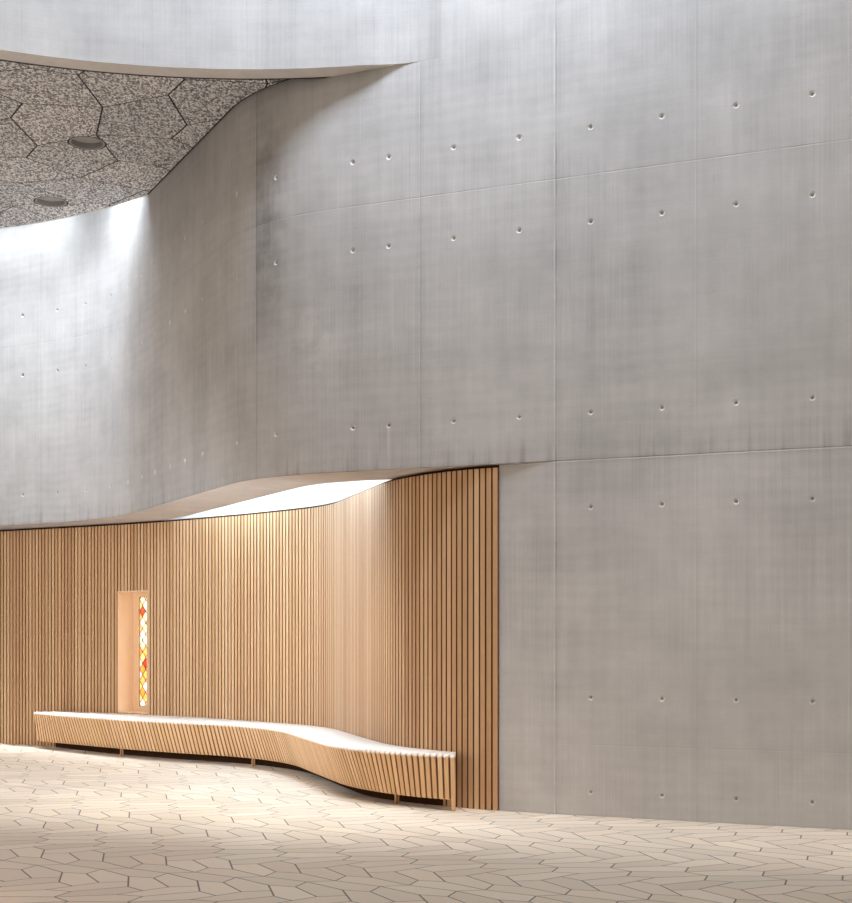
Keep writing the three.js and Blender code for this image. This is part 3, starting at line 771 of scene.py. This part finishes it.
def add_rib(shape, i):
    side = rib_side(rib_depth(i) - WALL_GAP, rake(i), FOOT if i else STANDING_GAP)
    station = (i + 0.5) * RIB_PITCH
    turned = bench_line.heading(station)
    place = Matrix.Translation(bench_line.at(station, 0, FLOOR)) @ Matrix.Rotation(-turned, 4, "Z")
    corners = [shape.verts.new(place @ Vector((RIB_WIDTH / 2, y, z))) for y, z in side]
    across = place.to_3x3() @ Vector((-RIB_WIDTH, 0, 0))
    moved = raised(shape, [shape.faces.new(corners)], across)
    verts = set(corners) | set(moved)
    rims = [e for e in {e for v in verts for e in v.link_edges}
            if abs((e.verts[0].co - e.verts[1].co).dot(across)) < 1e-6]
    rounded = bmesh.ops.bevel(
        shape, geom=rims, offset=RIB_ROUNDING, segments=3, profile=0.5, affect="EDGES", material=-1)
    uv = shape.loops.layers.uv.verify()
    back = place.inverted()
    for made in {f for v in rounded["verts"] for f in v.link_faces}:
        made.smooth = True
        for loop in made.loops:
            local = back @ loop.vert.co
            number = FIRST_RIB_NUMBER + i + 0.5 + BOARD_UV_WIDTH * local.x / RIB_WIDTH
            loop[uv].uv = (number, local.y - local.z)


def add_rail(shape, first, last, near, far, bottom, top):
    backing_strip(
        shape, bench_line, first * RIB_PITCH, (last + 1) * RIB_PITCH, -near, -far,
        FLOOR + bottom, FLOOR + top)


def add_post(shape, i):
    middle = FLOOR + STANDING_GAP + SEAT / 2 - 0.03
    spot = bench_line.at((i + 0.5) * RIB_PITCH, -POST_SETBACK, middle)
    made = bmesh.ops.create_cone(
        shape, cap_ends=True, segments=24, radius1=POST_RADIUS, radius2=POST_RADIUS,
        depth=SEAT - 0.06, matrix=Matrix.Translation(spot))
    uv = shape.loops.layers.uv.verify()
    for face in {f for v in made["verts"] for f in v.link_faces}:
        face.smooth = abs(face.normal.z) < 0.5
        for loop in face.loops:
            loop[uv].uv = (FIRST_POST_NUMBER + i + 10 * (loop.vert.co.x - spot.x), loop.vert.co.z)


BENCH_ENDS = {
    "right": (bench_line.at(0), alcove_line.at(BENCH_BACK[0]), 1),
    "left": (bench_line.at(RIBS * RIB_PITCH), alcove_line.at(BENCH_BACK[1]), -1),
}
ribs_each = math.ceil(RIBS / 4)
for k, segment in enumerate(("right", "bend", "middle", "left")):
    shape = bmesh.new()
    shape.loops.layers.uv.verify()
    first, last = k * ribs_each, min((k + 1) * ribs_each, RIBS) - 1
    for i in range(first, last + 1):
        add_rib(shape, i)
        if i in POSTS:
            add_post(shape, i)
    add_rail(shape, first, last, 0.15, 0.19, SEAT - 0.1, SEAT - 0.046)
    # The dark kick board far back under the seat is painted shade under the bench.
    add_rail(shape, first, last, 0.34, 0.36, STANDING_GAP, SEAT - 0.06)
    if segment in BENCH_ENDS:
        front, back, outward = BENCH_ENDS[segment]
        square_off(shape, front, (back - front).cross(Vector((0, 0, outward))))
    bmesh.ops.recalc_face_normals(shape, faces=shape.faces)
    piece(f"ribbed_bench_{segment}", shape, [bench_ash, dark_backing_and_shade], [f"bench_{segment}"])


# The window niche: boards round the opening and a wide frame, of the same ash. Its leaded light is
# a plain harlequin of honey, amber, straw and white glass, with a few ruby pieces, in lead cames.
# The panes glow by themselves: painted daylight shining through them.
joinery_ash = timber("oiled_ash_boards", (0.9, 0.67, 0.44, 1), (0.74, 0.49, 0.28, 1), (0.8, 0.56, 0.34, 1))
dress(("window_reveal", "window_frame"), joinery_ash)

low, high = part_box("stained_glass_window")
LIGHT_WIDTH = 0.3524
LIGHT_HEIGHT = high.z - low.z
DIAMOND = (LIGHT_WIDTH / 3, 0.16)
CAME = 0.011
PANE_THICKNESS = 0.006
SLIVER = 0.0004
window_middle = LINING_START + 126 * SLAT_PITCH + SLAT_WIDTH / 2
light_place = Matrix.Translation((Vector(low) + Vector(high)) / 2)
light_place = light_place @ Matrix.Rotation(-alcove_line.heading(window_middle), 4, "Z")
GLASS_COLOURS = [
    (0, (1, 0.86, 0.55, 1)), (0.18, (0.98, 0.52, 0.13, 1)), (0.38, (1, 0.95, 0.82, 1)),
    (0.54, (0.94, 0.38, 0.07, 1)), (0.66, (1, 0.74, 0.28, 1)), (0.8, (0.96, 0.96, 0.88, 1)),
    (0.94, (0.6, 0.06, 0.02, 1)),
]


def part_number(place):
    """The number that each pane, tile or panel was given in its UV map."""
    across = axis_of(place.node("ShaderNodeUVMap"), "X")
    return across.maths("FLOOR", across)


# The panes' own colour is also their glow: a painted glow of daylight through the glass.
glowing_leaded_glass, place = new_material("leaded_coloured_glass_with_painted_glow", {
    "IOR": 1.5, "Transmission Weight": 0.2, "Emission Strength": 0.85, "Specular IOR Level": 0.5})
chance = chance_for(part_number(place) + 0.5)
pane_colour = chance.node("ShaderNodeValToRGB", {"stops": GLASS_COLOURS}, {0: chance})
swirl = noise(place, 26, 3, 0.6)
pane_tint_and_glow = toned(pane_colour, 0.75 + swirl * 0.5)
surface(glowing_leaded_glass, {
    "Base Color": pane_tint_and_glow, "Emission Color": pane_tint_and_glow,
    "Roughness": step(swirl, 0.3, 0.7, 0.12, 0.4), "Normal": bump(swirl, 0.3, 0.002)})
lead, place = new_material("lead_came", {"Metallic": 0.4})
dull = noise(place, 60)
surface(lead, {
    "Base Color": toned((0.1, 0.045, 0.025), 0.7 + dull * 0.6),
    "Roughness": step(dull, 0.3, 0.7, 0.5, 0.75)})

harlequin = bmesh.new()
bmesh.ops.create_grid(harlequin, x_segments=24, y_segments=24, size=12)
slant = Matrix.Diagonal((DIAMOND[0] / math.sqrt(2), DIAMOND[1] / math.sqrt(2), 1, 1))
slant = slant @ Matrix.Rotation(math.radians(45), 4, "Z")
bmesh.ops.transform(harlequin, matrix=slant, verts=harlequin.verts)
for outward, reach in (((1, 0, 0), LIGHT_WIDTH / 2), ((-1, 0, 0), LIGHT_WIDTH / 2),
                       ((0, 1, 0), LIGHT_HEIGHT / 2), ((0, -1, 0), LIGHT_HEIGHT / 2)):
    bmesh.ops.bisect_plane(
        harlequin, geom=harlequin.verts[:] + harlequin.edges[:] + harlequin.faces[:],
        plane_co=Vector(outward) * reach, plane_no=outward, clear_outer=True)
slivers = [f for f in harlequin.faces if f.calc_area() < SLIVER]
panes = [f for f in harlequin.faces if f not in slivers]
uv = harlequin.loops.layers.uv.verify()
for i, pane in enumerate(panes):
    for loop in pane.loops:
        loop[uv].uv = (i + 0.5 + 0.3 * loop.vert.co.x, loop.vert.co.y)
rims = bmesh.ops.inset_individual(harlequin, faces=panes, thickness=CAME / 2, use_even_offset=True)["faces"]
cames = list(set(rims) | set(slivers))
for name, chosen, material, slot, thick in (
        ("coloured_panes", panes, glowing_leaded_glass, "stained_glass", PANE_THICKNESS),
        ("lead_cames", cames, lead, "frame_steel", CAME)):
    shape = harlequin.copy()
    keep = {f.index for f in chosen}
    shape.faces.ensure_lookup_table()
    bmesh.ops.delete(shape, geom=[f for f in shape.faces if f.index not in keep], context="FACES")
    raised(shape, shape.faces[:], (0, 0, thick))
    upright = light_place @ Matrix.Rotation(math.radians(90), 4, "X")
    upright = upright @ Matrix.Translation((0, 0, -thick / 2))
    bmesh.ops.transform(shape, matrix=upright, verts=shape.verts)
    bmesh.ops.recalc_face_normals(shape, faces=shape.faces)
    piece(name, shape, [material], ["stained_glass_window"])
harlequin.free()


# The floor: pale five-sided stone tiles 0.53 m long and 0.25 m wide, all of one shape, laid with
# 11 mm joints filled dark, nearly flush. Twelve tiles, turned and flipped, make a group that repeats.
TILE_SIZE = 0.184
HALF_ROOT = math.sqrt(3) / 2
TILE_CORNERS = [(0, 0), (2, 0), (1.5, HALF_ROOT), (HALF_ROOT - 1.232, HALF_ROOT + 0.5), (-HALF_ROOT, 0.5)]
TILE_GROUP = [
    (False, 0, 0, 0), (True, 0, 0, 0), (False, 30, -1.7321, -1), (True, 270, -0.366, -1.366),
    (False, 300, -2.7321, -2), (True, 300, -2.7321, -2), (False, 180, 1.134, 2.2321),
    (True, 180, 1.134, 2.2321), (False, 210, 2.866, 3.2321), (True, 90, 1.5, 3.5981),
    (False, 120, 3.866, 4.2321), (True, 120, -1.7321, -5.4641),
]
TILE_STEPS = [(2.366, -1.366), (5.5981, 9.6962)]
TILE_ORIGIN = (1.6292, -2.9026, 0)
TILE_JOINT = 0.011
GROUT_DROP = 0.0005


def polygons_on(corners, group, steps, origin, turn, size, box):
    """The flat tiles of a repeating pattern whose middles lie in the box."""
    shape = bmesh.new()
    uv = shape.loops.layers.uv.verify()
    swing = Matrix.Translation(origin) @ Matrix.Rotation(math.radians(turn), 4, "Z") @ Matrix.Scale(size, 4)
    number = 0
    for m in range(-40, 41):
        for n in range(-14, 15):
            shift = m * Vector((*steps[0], 0)) + n * Vector((*steps[1], 0))
            for flipped, angle, x, y in group:
                number += 1
                placed = swing @ Matrix.Translation(Vector((x, y, 0)) + shift)
                placed = placed @ Matrix.Rotation(math.radians(angle), 4, "Z")
                if flipped:
                    placed = placed @ Matrix.Diagonal((1, -1, 1, 1))
                spots = [placed @ Vector((*corner, 0)) for corner in corners]
                middle = sum(spots, Vector()) / len(spots)
                if not (box[0] < middle.x < box[1] and box[2] < middle.y < box[3]):
                    continue
                face = shape.faces.new([shape.verts.new(spot) for spot in spots])
                for loop, corner in zip(face.loops, corners):
                    loop[uv].uv = (number + 0.5 + 0.1 * corner[0], corner[1])
    bmesh.ops.recalc_face_normals(shape, faces=shape.faces)
    for face in shape.faces:
        if face.normal.z < 0:
            face.normal_flip()
    return shape


def thick_tiles(shape, joint, bottom, top, arris):
    """Draws each tile in by half a joint, gives it its thickness and eases its shown edges."""
    rims = bmesh.ops.inset_individual(
        shape, faces=shape.faces[:], thickness=joint / 2, use_even_offset=True)["faces"]
    bmesh.ops.delete(shape, geom=rims, context="FACES")
    bmesh.ops.translate(shape, verts=shape.verts, vec=(0, 0, bottom))
    lifted = set(raised(shape, shape.faces[:], (0, 0, top - bottom)))
    shown = [f for f in shape.faces if lifted.issuperset(f.verts)]
    edges = list({e for f in shown for e in f.edges})
    bmesh.ops.bevel(shape, geom=edges, offset=arris, segments=1, profile=0.5, affect="EDGES", material=-1)
    bmesh.ops.recalc_face_normals(shape, faces=shape.faces)


def kept_inside(laid, node, gap=0.0):
    """Trims the laid pieces to the outline of the CAD node that they stand for."""
    solid = copy_of(node)
    low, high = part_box(node)
    if gap:
        sides = [f for f in solid.faces if f.normal.z > -0.9]
        bmesh.ops.delete(solid, geom=sides, context="FACES")
        rims = bmesh.ops.inset_region(
            solid, faces=solid.faces[:], thickness=gap, use_boundary=True, use_even_offset=True)
        bmesh.ops.delete(solid, geom=rims["faces"], context="FACES")
        bmesh.ops.translate(solid, verts=solid.verts, vec=(0, 0, -0.01))
        raised(solid, solid.faces[:], (0, 0, high.z - low.z + 0.02))
        bmesh.ops.recalc_face_normals(solid, faces=solid.faces)
    bmesh.ops.triangulate(solid, faces=solid.faces)
    cut(laid, solid, "INTERSECT", "FAST" if gap else "EXACT")


def lowered_copy(node, top_shift, bottom_shift):
    """The node's own outline with its top and bottom moved, as the bed behind the pieces."""
    shape = copy_of(node)
    low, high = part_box(node)
    for vert in shape.verts:
        vert.co.z += top_shift if vert.co.z > (low.z + high.z) / 2 else bottom_shift
    shape.loops.layers.uv.verify()
    return shape


floor_stone, place = new_material("pale_floor_stone", {"Specular IOR Level": 0.4})
number = part_number(place)
chance, warmth = chance_for(number + 0.5), chance_for(number * 2.3 + 7.5)
mottle = noise(place, 14, 4, 0.6)
specks = noise(place, 120, 2, 0.6)
tone = 0.9 + chance * 0.16 + (mottle - 0.5) * 0.16 + (specks - 0.5) * 0.14
colour = mix(warmth, (0.75, 0.63, 0.49, 1), (0.715, 0.58, 0.435, 1))
surface(floor_stone, {
    "Base Color": toned(colour, tone), "Roughness": step(mottle, 0.3, 0.7, 0.42, 0.6),
    "Normal": bump(specks + mottle, 0.12, 0.001)})
joint_grout, place = new_material("dark_joint_grout", {"Roughness": 0.9})
tone = 1 + (noise(place, 40) - 0.5) * 0.5
surface(joint_grout, {
    "Base Color": toned((0.19, 0.165, 0.13), tone), "Normal": bump(noise(place, 300, 2), 0.3, 0.001)})

low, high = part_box("floor_tiles")
reach = (low.x - 0.3, high.x + 0.3, low.y - 0.3, high.y + 0.3)
laid = polygons_on(TILE_CORNERS, TILE_GROUP, TILE_STEPS, TILE_ORIGIN, 11.87, TILE_SIZE, reach)
thick_tiles(laid, TILE_JOINT, FLOOR - 0.02, FLOOR - 0.0001, 0.0006)
floor_tiles = piece("five_sided_floor_tiles", laid, [floor_stone], ["floor_tiles"])
kept_inside(floor_tiles, "floor_tiles")
bed = lowered_copy("floor_tiles", -GROUT_DROP, 0)
piece("floor_joint_grout", bed, [joint_grout], ["floor_tiles"])


# The chapel's ceiling: porous mottled acoustic panels of another five-sided shape, about 1.2 m
# long, hung just apart under a dark board, so that dark joints show between them.
PANEL_SIZE = 0.7923
PANEL_CORNERS = [(0, 0), (1, 0), (0.8142, 0.9826), (-0.0448, 1.4945), (-0.2306, 0.5119)]
PANEL_GROUP = [
    (False, 79.293, 0.8142, -0.9826), (True, 228.5, 0, 0), (False, 0, 0, 0), (False, 180, -0.2752, 2.0066),
    (True, 127.79, -0.9402, -1.9945), (True, 307.79, -1.2754, 0.0413), (True, 48.49, -0.2752, 2.0066),
    (False, 259.283, 1.0002, 1.9652),
]
PANEL_STEPS = [(2.0894, -1.0243), (1.9409, 3.9593)]
PANEL_ORIGIN = (-3.1447, -0.5438, 0)
PANEL_JOINT = 0.018
TRIM_WIDTH = 0.02
acoustic, place = new_material("mottled_acoustic_board", {"Roughness": 0.95, "Specular IOR Level": 0.15})
chance = chance_for(part_number(place) + 0.5)
combed = stretched(place, (1, 0.5, 1))
grains = place.node("ShaderNodeTexVoronoi", {}, {"Vector": combed, "Scale": 68}, "Color")
fine = noise(combed, 38, 4, 0.75)
mottled = step(axis_of(grains, "X"), 0.1, 0.9, 0.4, 1.55) + (fine - 0.5) * 1.2
hue = mix(chance, (0.62, 0.605, 0.6, 1), (0.64, 0.61, 0.59, 1))
tone = (0.93 + chance * 0.14) * mottled
surface(acoustic, {"Base Color": toned(hue, tone), "Normal": bump(mottled, 0.6, 0.006)})
# The near-black board over the panels; the same material makes the painted shadow gap at the drum.
dark_void_and_shade, place = new_material("dark_ceiling_void_and_painted_shade", {"Roughness": 0.95})
tone = 1 + (noise(place, 30) - 0.5) * 0.6
surface(dark_void_and_shade, {"Base Color": toned((0.03, 0.025, 0.02), tone), "Normal": bump(tone, 0.2, 0.002)})

low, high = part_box("acoustic_ceiling")
reach = (low.x - 1, high.x + 1, low.y - 1, high.y + 1)
hung = polygons_on(PANEL_CORNERS, PANEL_GROUP, PANEL_STEPS, PANEL_ORIGIN, 7.318, PANEL_SIZE, reach)
thick_tiles(hung, PANEL_JOINT, -low.z - 0.025, -low.z - 0.0002, 0.002)
bmesh.ops.scale(hung, vec=(1, 1, -1), verts=hung.verts)
bmesh.ops.reverse_faces(hung, faces=hung.faces)
panels = piece("five_sided_ceiling_panels", hung, [acoustic], ["acoustic_ceiling"])
kept_inside(panels, "acoustic_ceiling", TRIM_WIDTH)
void = lowered_copy("acoustic_ceiling", 0, 0.003)
piece("dark_board_over_panels", void, [dark_void_and_shade], ["acoustic_ceiling"])


# Where the ceiling ends: a thin dark strip under the drum's inner edge is painted shade, standing for
# the shadow gap between the ceiling and the drum, and a thin painted strip trims its free edge along the
# roof slot.
drum_low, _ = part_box("drum_wall_middle")
# This strip is painted shade: it stands for the shadow gap between the ceiling and the drum.
drum_shadow_strip = bmesh.new()
drum_shadow_strip.loops.layers.uv.verify()
backing_strip(drum_shadow_strip, drum_line, 0.5, 8.0, -0.239, -0.212, drum_low.z - 0.0012, drum_low.z - 0.0002, 0)
square_off(drum_shadow_strip, BAY_END, TO_NEXT_BAY)
bmesh.ops.recalc_face_normals(drum_shadow_strip, faces=drum_shadow_strip.faces)
drum_walls = ["drum_wall_right", "drum_wall_middle", "drum_wall_left"]
piece("dark_seal_at_drum", drum_shadow_strip, [dark_void_and_shade], drum_walls)

trim_paint, place = new_material("pale_edge_trim", {"Roughness": 0.6})
tone = 1 + (noise(place, 18) - 0.5) * 0.12
surface(trim_paint, {"Base Color": toned((0.78, 0.72, 0.66), tone), "Normal": bump(tone, 0.1, 0.002)})
outline = copy_of("acoustic_ceiling")
rim = {v for f in outline.faces if f.normal.z < -0.9 for v in f.verts}
free = [v.co.xy for v in rim if v.co.y > 2.2 and v.co.x < -2.44 and (v.co.y > 3.05 or v.co.x > -3.2)]
edge = sorted({tuple(spot) for spot in free})
outline.free()
trim = bmesh.new()
loops = []
for i, (x, y) in enumerate(edge):
    before, after = edge[max(i - 1, 0)], edge[min(i + 1, len(edge) - 1)]
    way_along = (Vector(after) - Vector(before)).normalized()
    inner = Vector((x, y)) + 0.016 * Vector((way_along.y, -way_along.x))
    inner.x = max(inner.x, BAY_END[0])
    loops.append([trim.verts.new((*spot, level)) for spot, level in (
        ((x, y), low.z + 0.0001), ((x, y), high.z - 0.0001),
        (inner, high.z - 0.0001), (inner, low.z + 0.0001))])
for first, second in zip(loops, loops[1:]):
    for k in range(4):
        trim.faces.new([first[k], first[(k + 1) % 4], second[(k + 1) % 4], second[k]])
trim.faces.new(loops[0])
trim.faces.new(loops[-1])
bmesh.ops.recalc_face_normals(trim, faces=trim.faces)
piece("pale_trim_at_slot", trim, [trim_paint], ["acoustic_ceiling"])


# The rooflights over both slots: painted steel frames bedded on the shaft and the curb, with a
# clear pane on each. The ceiling's round recesses have rings of the same painted steel.
painted_steel, place = new_material("painted_steel", {"Metallic": 0.1})
tone = 1 + (noise(place, 30) - 0.5) * 0.15
surface(painted_steel, {
    "Base Color": toned((0.38, 0.37, 0.355), tone),
    "Roughness": step(noise(place, 80, 2), 0.3, 0.7, 0.4, 0.55)})
dress((
    "alcove_rooflight_frame", "chapel_rooflight_frame",
    "ceiling_recess_ring_near", "ceiling_recess_ring_far",
), painted_steel)
clear_glass, place = new_material("rooflight_glass", {"Base Color": (0.85, 0.93, 0.92, 1), "IOR": 1.45})
surface(clear_glass, {
    "Roughness": step(noise(place, 3), 0.3, 0.7, 0.02, 0.06),
    "Alpha": step(noise(place, 3, 2), 0, 1, 0.22, 0.3)})
dress(("alcove_rooflight_glass", "chapel_rooflight_glass"), clear_glass)
